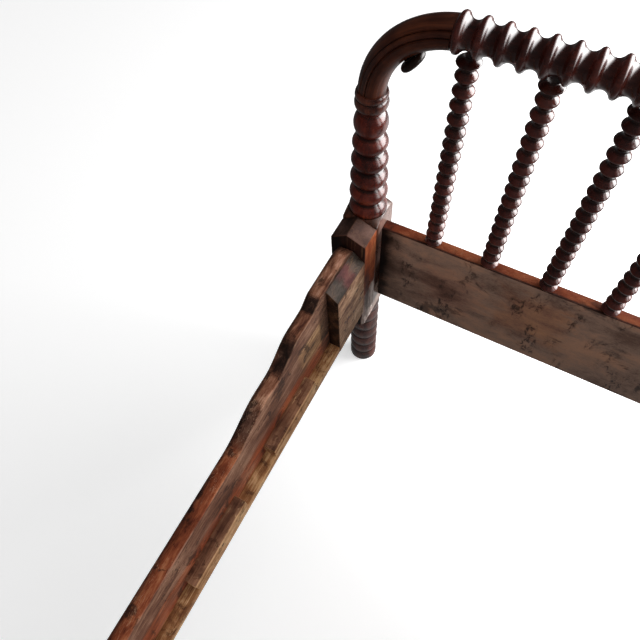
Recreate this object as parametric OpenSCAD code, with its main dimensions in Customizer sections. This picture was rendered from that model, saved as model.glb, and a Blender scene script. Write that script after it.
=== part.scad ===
// Turned spool bed of the rope-bed family: two low ends with bent corners, joined by
// scalloped side rails. The rails carry notched ledgers for loose slats.
// One corner is modelled in its own axes (x along the end towards the middle of the bed,
// y along the rail, the bed lying towards -y) and is mirrored to the other three.

/* [Bed size] */
// Width of the bed between the axes of its posts
bed_w = 1230; // [1050:1:1400]
// Length of the bed between the axes of its posts
bed_l = 1842; // [1700:1:2000]

/* [Posts] */
// Height of the turned leg below the square block
leg_h = 271; // [220:1:300]
// Height of the foot, the lowest ring of the leg
foot_h = 34.4; // [20:0.1:40]
// Number of rings on the leg above the foot
leg_rings = 6; // [4:1:8]
// Height of the lowest ring above the foot
leg_ring_h = 35.5; // [30:0.5:38]
// Diameter of the leg over its rings
leg_d = 62; // [54:0.5:64]
// Depth of the grooves between the rings of the leg
leg_groove = 3.7; // [2:0.1:6]
// Side of the square block that the board and the rail join
block_w = 65; // [60:0.5:76]
// Height of the square block at its corners
block_h = 268.5; // [266:0.5:300]
// Height of the turned shoulder, by which the block's faces rise above its corners
shoulder_h = 12; // [4:0.5:18]
// Number of turned beads above the block, below the ball
beads = 5; // [4:1:6]
// Height of one of those beads
bead_h = 35.1; // [30:0.1:40]
// How much thinner the lowest bead is than the block
bead_set = 0.5; // [0.5:0.5:8]
// Diameter of the ball above the beads
ball_d = 51.6; // [46:0.1:56]
// Height of the ball
ball_h = 40.1; // [34:0.1:46]
// Depth of the crevices between the beads
bead_groove = 9; // [4:0.1:10]
// Height of the cove under the collar
cove_h = 7.6; // [5:0.1:12]
// Height of the lower ring of the collar
ring_h = 16.2; // [12:0.1:20]
// Diameter of the lower ring of the collar
ring_d = 49.2; // [46:0.1:54]
// Height of the upper ring of the collar
top_ring_h = 10.8; // [8:0.1:14]
// Diameter of the upper ring of the collar
top_ring_d = 47.5; // [44:0.1:52]

/* [Bent corners] */
// Radius of the bent corner along its middle line
bend_r = 120; // [112:1:140]
// How far the bend reaches from the post axis to the spool rail
bend_reach = 101; // [92:0.5:106]
// Width of the moulded bend across its round back
bend_d = 40.5; // [38:0.5:44]
// Depth of the two grooves along each side of the bend
bend_groove = 2.2; // [1:0.1:3]
// Step from the sides of the bend in to its inner face
bend_step = 0.6; // [0.2:0.1:1.5]
// Diameter of the button on the inside of the bend
button_d = 35.5; // [28:0.5:42]
// Thickness of the button's head
button_t = 10; // [7:0.5:14]
// Height of the neck that shows between the bend and the button's head
button_gap = 1.5; // [1:0.1:6]
// Diameter of the button's neck
button_neck = 16; // [14:0.5:22]

/* [Spool rail] */
// Diameter of the spool rail over its ridges
ridge_d = 48.6; // [44:0.1:52]
// Diameter of the spool rail in its valleys
valley_d = 33.3; // [30:0.1:38]
// Distance that the ridges are set out to, fitted to a whole number
ridge_pitch = 25.4; // [22:0.1:30]
// Radius of the rounded crest of a ridge
crest_round = 5; // [3.5:0.1:6.5]

/* [Spindles] */
// Number of spindles in one end
spindles = 11; // [7:1:12]
// Distance from the post axis to the first spindle
spindle_margin = 123; // [115:1:140]
// Diameter of a spindle over its beads
spindle_d = 29.5; // [26:0.1:32]
// Diameter of a spindle between its beads
spindle_neck = 15; // [14:0.1:22]
// Height that the spindle's beads are set out to, fitted to a whole number
spindle_bead_h = 21.9; // [18:0.1:26]
// Height of the short bead on the board
spindle_foot_h = 15.3; // [10:0.1:20]
// Height of the larger bead under the rail
spindle_top_h = 16; // [12:0.1:20]
// Diameter of the larger bead under the rail
spindle_top_d = 32; // [30:0.1:36]

/* [Boards] */
// Height of the board between the posts
board_h = 214; // [180:1:225]
// Thickness of the board
board_t = 21.2; // [19:0.1:26]
// Height of the board's lower edge above the underside of the block
board_rise = 34.3; // [30:0.1:40]

/* [Side rails] */
// Depth of the joint block between the post and the side rail
joint_d = 43.5; // [36:0.5:50]
// Height of the joint block's gabled top over the corners of the post's block
gable_h = 15.5; // [8:0.5:20]
// How much lower the gable ends on the outer side of the bed
gable_lean = 4.5; // [0:0.5:8]
// Thickness of the side rail
rail_t = 25; // [22:0.5:30]
// Distance from the post axis out to the rail's outer face
rail_out = 15; // [12:0.5:18]
// Height of the rail's lower edge above the underside of the block
rail_rise = 59; // [50:1:60]
// Height of the rail along its straight middle
rail_h = 136; // [120:1:137]
// Drop of each of the three curves that step down to the straight middle
cyma_drop = [14, 27, 26]; // [8:1:30]
// Length of each of those three curves
cyma_len = [34, 75, 100]; // [20:1:140]
// Length of the level land before each curve
land_len = [82, 38, 31]; // [10:1:120]
// Length over which the rail's top rounds down to the joint block
end_round_len = 29; // [15:1:40]
// Drop of the rail's top at the joint block
end_round_drop = 14; // [6:1:20]
// Length of the pad that thickens the rail's end
pad_l = 98; // [80:1:120]
// Height of the pad's inner face at the joint block
pad_h = 167; // [150:1:176]
// Angle at which the pad's top slopes up from its inner face to the rail
pad_bevel = 44; // [20:1:45]
// Angle at which the pad's top climbs away from the joint block
pad_climb = 5.4; // [0:0.1:7]

/* [Slat ledgers] */
// Number of slats that a ledger takes
slats = 7; // [5:1:9]
// Height of the ledger over its raised parts
ledger_h = 47; // [36:1:60]
// Depth of the notches that the slats lie in
notch_d = 28; // [10:1:30]
// Length of a raised part between two notches
raised_l = 143; // [90:1:145]
// Setback of the ledger's face from the face of the pads
ledger_set = 0.75; // [0.5:0.05:3]

/* [Joinery and ironwork] */
// Diameter of the tenon at the top of a post
post_tenon_d = 24; // [18:0.5:24]
// Length of the tenon at the top of a post
post_tenon_l = 30; // [20:1:34]
// Diameter of the tenons of the spool rail
rail_tenon_d = 18; // [14:0.5:20]
// Length of the tenons of the spool rail
rail_tenon_l = 22; // [15:1:24]
// Diameter of the tenons of a spindle
pin_d = 13; // [9:0.5:14]
// Length of the tenons of a spindle
pin_l = 15; // [10:0.5:20]
// Diameter of the button's tenon
button_tenon_d = 10; // [8:0.5:12]
// Length of the button's tenon
button_tenon_l = 12; // [8:0.5:14]
// Thickness of the board's tenons
tongue_t = 12; // [8:0.5:14]
// Length of the board's tenons
tongue_l = 22; // [15:1:25]
// Height of the shoulder above and below the board's tenon
tongue_shoulder = 20; // [10:1:30]
// Thickness of the iron hook plate in the rail's end
hook_t = 4; // [3:0.5:5]
// Height of the hook plate
hook_h = 60; // [50:1:70]
// Length of the hook plate inside the rail
hook_l = 60; // [40:1:70]
// Height that the hook drops when the rail is hung
hook_drop = 26; // [22:1:28]
// Diameter of the iron pin that the hook hangs on
pin_iron_d = 8; // [6:0.5:10]
// Depth at which the pin's end lies in its hole
pin_sink = 2; // [1:0.5:4]
// Diameter of the two rivets that hold a hook plate
rivet_d = 6; // [5:0.5:8]
// Diameter of the screws that hold a joint block to its post
screw_d = 6; // [5:0.5:7]
// Diameter of the nails in the pads and ledgers
nail_d = 3.2; // [2.5:0.1:4.5]
// Clearance around everything that fits into a bore or a slot
fit = 0.15; // [0.1:0.05:0.25]

/* [Hidden] */
turned_wood = [0.33, 0.13, 0.09];
bent_wood = [0.36, 0.19, 0.13];
flat_wood = [0.40, 0.24, 0.16];
raw_wood = [0.62, 0.48, 0.34];
iron = [0.22, 0.20, 0.19];

ends = [["head", 1], ["foot", -1]];
sides = [["left", -1], ["right", 1]];
corners = [for (e = ends, s = sides) [str(e[0], "_", s[0]), s[1], e[1]]];

// Heights, from the floor up
block_z = leg_h;
block_top = block_z + block_h;
ball_z = block_top + beads * bead_h;
collar_z = ball_z + ball_h;
post_top = collar_z + cove_h + ring_h + top_ring_h;
bend_sink = 6; // the bend's arc starts this far below the post's top
bend_z = post_top - bend_sink;
spool_z = bend_z + bend_r;
board_z = block_z + board_rise;
board_top = board_z + board_h;
rail_z = block_z + rail_rise;

// Places along the width and the length, from the post axis
half_block = block_w / 2;
joint_y = -half_block - joint_d;
rail_in = rail_t - rail_out;
rail_mid = rail_in - rail_t / 2;
rail_l = bed_l + 2 * joint_y;
pad_t = half_block - rail_in;
pad_end = joint_y - pad_l;
ledger_l = bed_l + 2 * pad_end;
ledger_t = pad_t - ledger_set;

// The spool rail's wave: tangent arcs for the crests and the valleys
spool_l = bed_w - 2 * bend_reach;
ridges = round(spool_l / ridge_pitch - 0.5);
pitch = spool_l / (ridges + 0.5);
wave_h = (ridge_d - valley_d) / 2;
round_sum = (pow(pitch / 2, 2) + pow(wave_h, 2)) / (2 * wave_h);
valley_round = round_sum - crest_round;
wave_angle = asin(pitch / 2 / round_sum);
spool_end_r = valley_d / 2 + valley_round - sqrt(pow(valley_round, 2) - pow(pitch / 4, 2));

// The spindles, from the board to just below the ridges
seat_gap = 0.3;
spindle_top = spool_z - ridge_d / 2 - seat_gap;
spindle_l = spindle_top - board_top;
bead_run = spindle_l - spindle_foot_h - spindle_top_h;
spindle_beads = round(bead_run / spindle_bead_h);
spindle_step = (bed_w - 2 * spindle_margin) / (spindles - 1);
rail_pin_top = spool_z - 3;

// Angles round the bend's section, from its outer side, and round the button's rim
bend_grooves = [56, 82];
bend_groove_half = 5; // half the angle that one groove opens over
bend_arris = 130; // where the round side ends
bend_slope = 4; // over which the side steps in to the inner face
rim_turn = 80;

// The ironwork sits at half the height of the block
hook_z = block_z + block_h / 2;
pin_y = -half_block - joint_d / 2;
hook_tip = pin_y + pin_iron_d;
pin_far = half_block - 8;

// Half of a round bead as points from its lower groove up to just below the next one
function bead(z, h, neck_r, bead_r, n = 8) = [
    for (i = [0:n - 1])
        let (a = 180 * i / n)
            [neck_r + (bead_r - neck_r) * sin(a), z + h * (1 - cos(a)) / 2]
];

// Points on an arc about a centre
function arc(centre, r, from, to, n) = [
    for (i = [0:n])
        let (a = from + (to - from) * i / n)
            centre + r * [cos(a), sin(a)]
];

// A quarter turn of a hollow curve from one point out to another
function cove(from, to, n = 4) = [
    for (i = [0:n - 1])
        let (a = 90 * i / n)
            [from[0] + (to[0] - from[0]) * (1 - cos(a)), from[1] + (to[1] - from[1]) * sin(a)]
];

// A double curve between two points, level at both ends
function cyma(from, to, n = 8) = [
    for (i = [0:n])
        let (t = i / n)
            [from[0] + (to[0] - from[0]) * t, from[1] + (to[1] - from[1]) * (1 - cos(180 * t)) / 2]
];

function sum(v, n) = n <= 0 ? 0 : v[n - 1] + sum(v, n - 1);

// Leg rings grow in height upwards so that they fill the leg
leg_growth = 2 * (leg_h - foot_h - leg_rings * leg_ring_h) / (leg_rings * (leg_rings - 1));
function leg_groove_z(i) = foot_h + i * leg_ring_h + leg_growth * i * (i - 1) / 2;

// Beads grow thinner upwards, slowly at first
bead_d_low = block_w - bead_set;
function bead_d(i) = bead_d_low - (bead_d_low - ball_d) * pow(i / beads, 1.5);

module mirror_if(on, v) {
    if (on)
        mirror(v) children();
    else
        children();
}

// From one corner's axes to its place on the bed
module at_corner(c) {
    translate([c[1] * bed_w / 2, c[2] * bed_l / 2, 0])
        mirror_if(c[1] > 0, [1, 0, 0])
            mirror_if(c[2] < 0, [0, 1, 0])
                children();
}

module at_corners() {
    for (c = corners)
        at_corner(c) children();
}

// A cylinder along x from one place to another
module rod_x(from, to, d, y, z) {
    translate([from, y, z])
        rotate([0, 90, 0])
            cylinder(h = to - from, d = d, $fn = 32);
}

module turning(points) {
    z0 = points[0][1];
    z1 = points[len(points) - 1][1];
    rotate_extrude($fn = 64)
        polygon(concat([[0, z0]], points, [[0, z1]]));
}

// Countersunk screw that points along +y, with its head's face at y = 0
module screw(l, d) {
    rotate([-90, 0, 0]) {
        cylinder(h = d * 0.7, d1 = d * 1.9, d2 = d, $fn = 32);
        cylinder(h = l, d = d, $fn = 32);
    }
}

// Nail that points along -x, with its head's face at x = 0
module nail(l, d) {
    rotate([0, -90, 0]) {
        cylinder(h = d / 2, d = d * 2.2, $fn = 32);
        cylinder(h = l, d = d, $fn = 32);
    }
}

screw_l = joint_d + half_block - tongue_t;
screw_zs = [rail_rise + hook_h / 3, block_h - 0.9 * hook_h];
module at_screws() {
    for (z = screw_zs)
        translate([rail_mid, joint_y, block_z + z]) children();
}

// The nails stop short of the hook plate
nail_l = half_block - rail_mid - hook_t / 2 - 3;
pad_nail_places = [[0.16, 0.44], [0.42, 0.40], [0.66, 0.47], [0.77, 0.48]];
module at_pad_nails() {
    for (p = pad_nail_places)
        translate([half_block, joint_y - p[0] * pad_l, rail_z + p[1] * pad_h]) children();
}

// Square block whose top is turned down to a cone, so that each face ends in an arch
module post_block() {
    corner_r = half_block * sqrt(2) + 1;
    intersection() {
        translate([-half_block, -half_block, block_z])
            cube([block_w, block_w, block_h + shoulder_h]);
        turning([
            [corner_r, block_z], [corner_r, block_top],
            [half_block, block_top + shoulder_h], [half_block - 2, block_top + shoulder_h - 2]
        ]);
    }
}

module post() {
    leg = [for (i = [0:leg_rings - 1])
        let (z = leg_groove_z(i), h = leg_groove_z(i + 1) - z)
            each bead(z, h, leg_d / 2 - leg_groove, leg_d / 2)];
    stack = [for (i = [0:beads - 1])
        each bead(block_top + i * bead_h, bead_h, bead_d(i) / 2 - bead_groove, bead_d(i) / 2)];
    ball = bead(ball_z, ball_h, ball_d / 2 - bead_groove, ball_d / 2, 12);
    collar_r = ball_d / 2 - bead_groove;
    ring_r = top_ring_d / 2 - 1.8;
    rings = concat(
        cove([collar_r, collar_z], [ring_r, collar_z + cove_h]),
        bead(collar_z + cove_h, ring_h, ring_r, ring_d / 2),
        bead(collar_z + cove_h + ring_h, top_ring_h, ring_r, top_ring_d / 2)
    );
    foot = concat(
        [[leg_d / 2 - 1.5, 0], [leg_d / 2, foot_h / 6]],
        [for (p = bead(0, foot_h, leg_d / 2 - leg_groove, leg_d / 2)) if (p[1] > foot_h / 3) p]
    );
    color(turned_wood)
        difference() {
            union() {
                turning(concat(foot, leg, stack, ball, rings, [[ring_r, post_top]]));
                post_block();
                translate([0, 0, post_top - 1])
                    cylinder(h = post_tenon_l + 1, d = post_tenon_d, $fn = 48);
            }
            translate([half_block - tongue_l - 0.5, -tongue_t / 2 - fit, board_z + tongue_shoulder - fit])
                cube([tongue_l + 1, tongue_t + 2 * fit, board_h - 2 * tongue_shoulder + 2 * fit]);
            at_screws()
                rotate([-90, 0, 0])
                    cylinder(h = screw_l + 0.5, d = screw_d + 2 * fit, $fn = 32);
        }
}

// Section of the bend: round back, two grooves and a reed on each side, and an inner
// face that lies a step inside the round
module bend_section() {
    r = bend_d / 2;
    grooves = bend_grooves;
    half = bend_groove_half;
    arris = bend_arris;
    back = arc([0, 0], r, -grooves[0] + half, grooves[0] - half, 14);
    reed = arc([0, 0], r, grooves[0] + half, grooves[1] - half, 3);
    flank = arc([0, 0], r, grooves[1] + half, arris, 4);
    inner = arc([0, 0], r - bend_step, arris + bend_slope, 360 - arris - bend_slope, 9);
    bottoms = [for (g = grooves) (r - bend_groove) * [cos(g), sin(g)]];
    right = concat([bottoms[0]], reed, [bottoms[1]], flank);
    left = [for (i = [len(right) - 1 : -1 : 0]) [right[i][0], -right[i][1]]];
    polygon(concat(back, right, inner, left));
}

module bend() {
    color(bent_wood)
        difference() {
            intersection() {
                translate([bend_r, 0, bend_z])
                    rotate([90, 0, 180])
                        rotate_extrude(angle = 90, $fn = 128)
                            translate([bend_r, 0]) bend_section();
                translate([-bend_d, -bend_d, post_top])
                    cube([bend_d + bend_reach, 2 * bend_d, bend_r + bend_d]);
            }
            translate([0, 0, post_top - 1])
                cylinder(h = post_tenon_l + 1.5, d = post_tenon_d + 2 * fit, $fn = 48);
            rod_x(bend_reach - rail_tenon_l - 0.5, bend_reach + 1, rail_tenon_d + 2 * fit, 0, spool_z);
            at_button()
                translate([0, 0, bend_d / 2 - button_tenon_l - 0.5])
                    cylinder(h = button_tenon_l + 5, d = button_tenon_d + 2 * fit, $fn = 32);
        }
}

// Axes of the button: z runs from the bend's middle line to the centre of its arc
button_angle = 45;
module at_button() {
    translate([bend_r, 0, bend_z])
        rotate([0, button_angle + 90, 0])
            translate([0, 0, -bend_r]) children();
}

module button() {
    r = button_d / 2;
    rim = button_t / 2;
    neck_r = button_neck / 2;
    // The bend's inner face is hollow along its length, so the neck bears on it at its rim
    inner = bend_d / 2 - bend_step;
    seat = inner + pow(neck_r, 2) / (2 * (bend_r - inner)) + 0.1;
    back = seat + button_gap;
    profile = concat(
        [[button_tenon_d / 2, bend_d / 2 - button_tenon_l], [button_tenon_d / 2, seat]],
        [[neck_r, seat], [neck_r, back - 0.5], [neck_r + 1.5, back + 0.3]],
        arc([r - rim, back + rim], rim, -rim_turn, rim_turn, 8),
        [[r * 0.5, back + button_t + 0.6]]
    );
    color(bent_wood)
        at_button()
            rotate_extrude($fn = 64)
                polygon(concat([[0, profile[0][1]]], profile, [[0, back + button_t + 0.6]]));
}

// The rail is turned about its own axis, then laid across the end
module spool_rail(end) {
    half = spool_l / 2;
    crests = [for (i = [0:ridges]) -half + pitch * (i + 0.25)];
    wave = [for (z = crests) each concat(
        [for (p = arc([ridge_d / 2 - crest_round, z], crest_round, -wave_angle, wave_angle, 6)) p],
        [for (a = [-0.66, -0.33, 0, 0.33, 0.66])
            let (b = a * wave_angle)
                [valley_d / 2 + valley_round * (1 - cos(b)), z + pitch / 2 + valley_round * sin(b)]]
    )];
    inside = [for (p = wave) if (abs(p[1]) < half - 0.2) p];
    color(turned_wood)
        translate([0, end * bed_l / 2, spool_z])
            difference() {
                rotate([0, 90, 0])
                    union() {
                        turning(concat([[spool_end_r, -half]], inside, [[spool_end_r, half]]));
                        translate([0, 0, -half - rail_tenon_l])
                            cylinder(h = spool_l + 2 * rail_tenon_l, d = rail_tenon_d, $fn = 48);
                    }
                for (i = [0:spindles - 1])
                    translate([spindle_margin - bed_w / 2 + i * spindle_step, 0, -ridge_d])
                        cylinder(h = ridge_d + rail_pin_top - spool_z, d = pin_d + 2 * fit, $fn = 32);
            }
}

module spindle(end, i) {
    h = bead_run / spindle_beads;
    neck_r = spindle_neck / 2;
    z0 = board_top;
    z1 = z0 + spindle_foot_h;
    z2 = z1 + bead_run;
    points = concat(
        [[pin_d / 2, z0 - pin_l], [pin_d / 2, z0]],
        bead(z0, spindle_foot_h, neck_r, spindle_d / 2, 6),
        [for (k = [0:spindle_beads - 1]) each bead(z1 + k * h, h, neck_r, spindle_d / 2, 6)],
        bead(z2, spindle_top_h, neck_r, spindle_top_d / 2, 6),
        [[neck_r, spindle_top], [pin_d / 2, spindle_top], [pin_d / 2, rail_pin_top]]
    );
    color(turned_wood)
        translate([spindle_margin - bed_w / 2 + (i - 1) * spindle_step, end * bed_l / 2, 0])
            turning(points);
}

module board(end) {
    face = bed_w / 2 - half_block;
    color(flat_wood)
        translate([0, end * bed_l / 2, 0])
            difference() {
                union() {
                    translate([-face, -board_t / 2, board_z])
                        cube([2 * face, board_t, board_h]);
                    translate([-face - tongue_l, -tongue_t / 2, board_z + tongue_shoulder])
                        cube([2 * (face + tongue_l), tongue_t, board_h - 2 * tongue_shoulder]);
                }
                for (i = [0:spindles - 1])
                    translate([spindle_margin - bed_w / 2 + i * spindle_step, 0, board_top - pin_l])
                        cylinder(h = pin_l + 1, d = pin_d + 2 * fit, $fn = 32);
            }
}

module joint_block() {
    ridge_x = -3;
    color(flat_wood)
        difference() {
            translate([0, -half_block, 0])
                rotate([90, 0, 0])
                    linear_extrude(joint_d)
                        polygon([
                            [-half_block, block_z], [half_block, block_z],
                            [half_block, block_top], [ridge_x, block_top + gable_h],
                            [-half_block, block_top - gable_lean]
                        ]);
            translate([rail_mid - hook_t / 2 - 2 * fit, joint_y - 1, hook_z - hook_h / 2 - 2])
                cube([hook_t + 4 * fit, hook_tip - joint_y + 3, hook_h + hook_drop + 4]);
            rod_x(-pin_far, half_block + 1, pin_iron_d + 2 * fit, pin_y, hook_z);
            at_screws() {
                translate([0, -1, 0])
                    rotate([-90, 0, 0])
                        cylinder(h = joint_d + 2, d = screw_d + 2 * fit, $fn = 32);
                rotate([-90, 0, 0])
                    cylinder(h = screw_d * 0.7 + fit, d = screw_d * 1.9 + 2 * fit, $fn = 32);
            }
        }
}

// Top edge of one end of the rail, from the joint block to the straight middle
function scallop() =
    let (
        top = rail_h + sum(cyma_drop, 3),
        start = end_round_len,
        s = [for (i = [0:2]) start + sum(land_len, i + 1) + sum(cyma_len, i)],
        h = [for (i = [0:3]) top - sum(cyma_drop, i)]
    )
    concat(
        [for (i = [0:4]) [start * i / 5, top - end_round_drop * (1 - sin(18 * i))]],
        [[start, top]],
        [for (i = [0:2]) each cyma([s[i], h[i]], [s[i] + cyma_len[i], h[i + 1]])]
    );

module side_rail(side) {
    edge = scallop();
    far = [for (i = [len(edge) - 1 : -1 : 0]) [rail_l - edge[i][0], edge[i][1]]];
    color(flat_wood)
        difference() {
            translate([side * (bed_w / 2 - rail_in + rail_t / 2), -rail_l / 2, rail_z])
                rotate([90, 0, 90])
                    linear_extrude(rail_t, center = true)
                        polygon(concat([[0, 0]], edge, far, [[rail_l, 0]]));
            for (c = corners)
                if (c[1] == side)
                    at_corner(c) {
                        translate([rail_mid - hook_t / 2 - fit, joint_y - hook_l - fit, hook_z - hook_h / 2 - fit])
                            cube([hook_t + 2 * fit, hook_l + 1, hook_h + 2 * fit]);
                        at_rivets()
                            rotate([0, -90, 0])
                                cylinder(h = rivet_l + fit, d = rivet_d + 2 * fit, $fn = 32);
                        at_pad_nails()
                            rotate([0, -90, 0])
                                cylinder(h = nail_l + fit, d = nail_d + 2 * fit, $fn = 32);
                    }
            ledger_nail_places(side)
                rotate([0, -90, 0])
                    cylinder(h = nail_l + fit, d = nail_d + 2 * fit, $fn = 32);
        }
}

module end_pad() {
    color(raw_wood)
        difference() {
            translate([rail_in, pad_end, rail_z])
                cube([pad_t, pad_l, pad_h + pad_t * 2]);
            translate([half_block, joint_y, rail_z + pad_h])
                rotate([-pad_climb, 0, 0])
                    rotate([0, pad_bevel, 0])
                        translate([-block_w, -2 * pad_l, 0])
                            cube([2 * block_w, 4 * pad_l, pad_h]);
            at_pad_nails() {
                rotate([0, -90, 0])
                    cylinder(h = pad_t + 1, d = nail_d + 2 * fit, $fn = 32);
                rotate([0, -90, 0])
                    cylinder(h = nail_d / 2 + fit, d = nail_d * 2.2 + 2 * fit, $fn = 32);
            }
        }
}

// The raised parts stand between the slats, at even steps along the ledger
raised_step = (ledger_l + raised_l) / slats;
raised_ys = [for (i = [1:slats - 1]) (i - slats / 2) * raised_step];
module ledger_nail_places(side) {
    for (y = raised_ys)
        translate([side * (bed_w / 2 - rail_in - ledger_t), y, rail_z + ledger_h - notch_d / 2])
            mirror_if(side > 0, [1, 0, 0]) children();
}

module ledger(side) {
    floor_h = ledger_h - notch_d;
    half = ledger_l / 2;
    top = [for (y = raised_ys) each [
        [y - raised_l / 2, floor_h], [y - raised_l / 2, ledger_h],
        [y + raised_l / 2, ledger_h], [y + raised_l / 2, floor_h]
    ]];
    color(raw_wood)
        difference() {
            translate([side * (bed_w / 2 - rail_in - ledger_t / 2), 0, rail_z])
                rotate([90, 0, 90])
                    linear_extrude(ledger_t, center = true)
                        polygon(concat([[-half, 0], [-half, floor_h]], top, [[half, floor_h], [half, 0]]));
            ledger_nail_places(side) {
                rotate([0, -90, 0])
                    cylinder(h = ledger_t + 1, d = nail_d + 2 * fit, $fn = 32);
                rotate([0, -90, 0])
                    cylinder(h = nail_d / 2 + fit, d = nail_d * 2.2 + 2 * fit, $fn = 32);
            }
        }
}

// Flat iron plate in the rail's end, with a hook that drops over the pin
module hook_plates() {
    color(iron)
        at_corners()
            difference() {
                translate([rail_mid - hook_t / 2, joint_y - hook_l, hook_z - hook_h / 2])
                    cube([hook_t, hook_l + hook_tip - joint_y, hook_h]);
                rod_x(rail_mid - hook_t, rail_mid + hook_t, pin_iron_d + 2 * fit, pin_y, hook_z);
                translate([rail_mid - hook_t, pin_y - pin_iron_d / 2 - fit, hook_z - hook_h])
                    cube([2 * hook_t, pin_iron_d + 2 * fit, hook_h]);
                at_rivets()
                    rotate([0, -90, 0])
                        cylinder(h = rail_t, d = rivet_d + 2 * fit, $fn = 32);
            }
}

rivet_l = rail_t - 5;
module at_rivets() {
    for (z = [-1, 1])
        translate([rail_in, joint_y - hook_l / 2, hook_z + z * hook_h * 0.3]) children();
}

module hook_rivets() {
    color(iron)
        at_corners()
            at_rivets()
                rotate([0, -90, 0])
                    cylinder(h = rivet_l, d = rivet_d, $fn = 32);
}

module hook_pins() {
    color(iron)
        at_corners()
            rod_x(-pin_far, half_block - pin_sink, pin_iron_d, pin_y, hook_z);
}

module block_screws() {
    color(iron)
        at_corners()
            at_screws() screw(screw_l, screw_d);
}

module pad_nails() {
    color(iron)
        at_corners()
            at_pad_nails() nail(nail_l, nail_d);
}

module ledger_nails() {
    color(iron)
        for (s = sides)
            ledger_nail_places(s[1]) nail(nail_l, nail_d);
}

for (c = corners)
    at_corner(c) post();
for (c = corners)
    at_corner(c) bend();
for (c = corners)
    at_corner(c) button();
for (e = ends)
    spool_rail(e[1]);
for (e = ends)
    board(e[1]);
for (e = ends, i = [1:spindles])
    spindle(e[1], i);
for (c = corners)
    at_corner(c) joint_block();
for (s = sides)
    side_rail(s[1]);
for (c = corners)
    at_corner(c) end_pad();
for (s = sides)
    ledger(s[1]);
hook_plates();
hook_rivets();
hook_pins();
block_screws();
pad_nails();
ledger_nails();
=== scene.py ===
import math
from contextlib import contextmanager

import bmesh
import bpy
from mathutils import Matrix, Vector, noise


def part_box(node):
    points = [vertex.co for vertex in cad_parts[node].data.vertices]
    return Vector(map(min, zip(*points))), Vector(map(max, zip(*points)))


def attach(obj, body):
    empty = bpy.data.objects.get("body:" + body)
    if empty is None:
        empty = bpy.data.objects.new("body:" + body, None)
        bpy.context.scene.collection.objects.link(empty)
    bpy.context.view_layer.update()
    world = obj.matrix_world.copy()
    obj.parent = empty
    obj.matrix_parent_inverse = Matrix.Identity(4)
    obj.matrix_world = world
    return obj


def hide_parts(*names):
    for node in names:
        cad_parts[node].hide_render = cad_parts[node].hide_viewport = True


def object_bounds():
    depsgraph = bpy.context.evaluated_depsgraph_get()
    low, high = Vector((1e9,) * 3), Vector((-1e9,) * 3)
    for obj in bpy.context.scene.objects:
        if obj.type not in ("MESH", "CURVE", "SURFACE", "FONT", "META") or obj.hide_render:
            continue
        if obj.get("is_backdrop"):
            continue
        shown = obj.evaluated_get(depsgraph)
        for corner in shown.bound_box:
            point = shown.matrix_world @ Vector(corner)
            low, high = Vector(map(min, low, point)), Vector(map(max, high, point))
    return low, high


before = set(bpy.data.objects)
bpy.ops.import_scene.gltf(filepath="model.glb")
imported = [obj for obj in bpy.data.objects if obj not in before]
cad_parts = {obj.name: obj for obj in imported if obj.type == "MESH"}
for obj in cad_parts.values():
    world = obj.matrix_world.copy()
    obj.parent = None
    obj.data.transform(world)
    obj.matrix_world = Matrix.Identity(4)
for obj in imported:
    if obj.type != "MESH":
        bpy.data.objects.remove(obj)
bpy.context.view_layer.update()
print("frame loaded:", len(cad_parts), "nodes")

# Places on one corner are written as in the CAD: x from the post's axis towards the middle
# of the bed, y negative towards the middle, z up. All in metres.
bed = dict(
    halfWidth=0.615, halfLength=0.921, blockBottom=0.271, blockTop=0.5395,
    halfBlock=0.0325, postTop=0.790, spoolHeight=0.904, railBottom=0.330,
    spindleGap=0.0006
)
corners = {"head_left": (-1, 1), "head_right": (1, 1), "foot_left": (-1, -1), "foot_right": (1, -1)}
ends = {"head": 1, "foot": -1}
sides = {"left": -1, "right": 1}


def fromCorner(place, corner):
    x, y, z = place
    return Vector((corner[0] * (bed["halfWidth"] - x), corner[1] * (bed["halfLength"] + y), z))


# small helpers for nodes and meshes

class Number:
    # a number that nodes work out, reckoned with like a plain one
    def __init__(self, tree, socket):
        self.tree, self.socket = tree, socket

    def by(self, operation, *others):
        return calc(self.tree, operation, self, *others)

    def __add__(self, other):
        return self.by("ADD", other)

    def __sub__(self, other):
        return self.by("SUBTRACT", other)

    def __rsub__(self, other):
        return calc(self.tree, "SUBTRACT", other, self)

    def __mul__(self, other):
        return self.by("MULTIPLY", other)

    def __truediv__(self, other):
        return self.by("DIVIDE", other)

    def __pow__(self, other):
        return self.by("POWER", other)


def feed(tree, socket, value):
    if isinstance(value, Number):
        value = value.socket
    if isinstance(value, bpy.types.NodeSocket):
        tree.links.new(value, socket)
    else:
        socket.default_value = value


def addNode(tree, kind, values=None, **settings):
    made = tree.nodes.new(kind)
    for key, value in settings.items():
        setattr(made, key, value)
    for key, value in (values or {}).items():
        feed(tree, made.inputs[key], value)
    return made


def firstOf(tree, kind, values=None, **settings):
    # the first output of a new node
    return addNode(tree, kind, values, **settings).outputs[0]


def numberOf(tree, kind, values=None, **settings):
    return Number(tree, firstOf(tree, kind, values, **settings))


def calc(tree, operation, *values):
    return numberOf(tree, "ShaderNodeMath", dict(enumerate(values)), operation=operation)


def vectorCalc(tree, operation, *values):
    return firstOf(tree, "ShaderNodeVectorMath", dict(enumerate(values)), operation=operation)


def measure(tree, operation, first, second):
    # what two vectors give as one number
    made = addNode(tree, "ShaderNodeVectorMath", {0: first, 1: second}, operation=operation)
    return Number(tree, made.outputs["Value"])


def partsOf(tree, vector):
    return [Number(tree, part) for part in addNode(tree, "ShaderNodeSeparateXYZ", {0: vector}).outputs]


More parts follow.
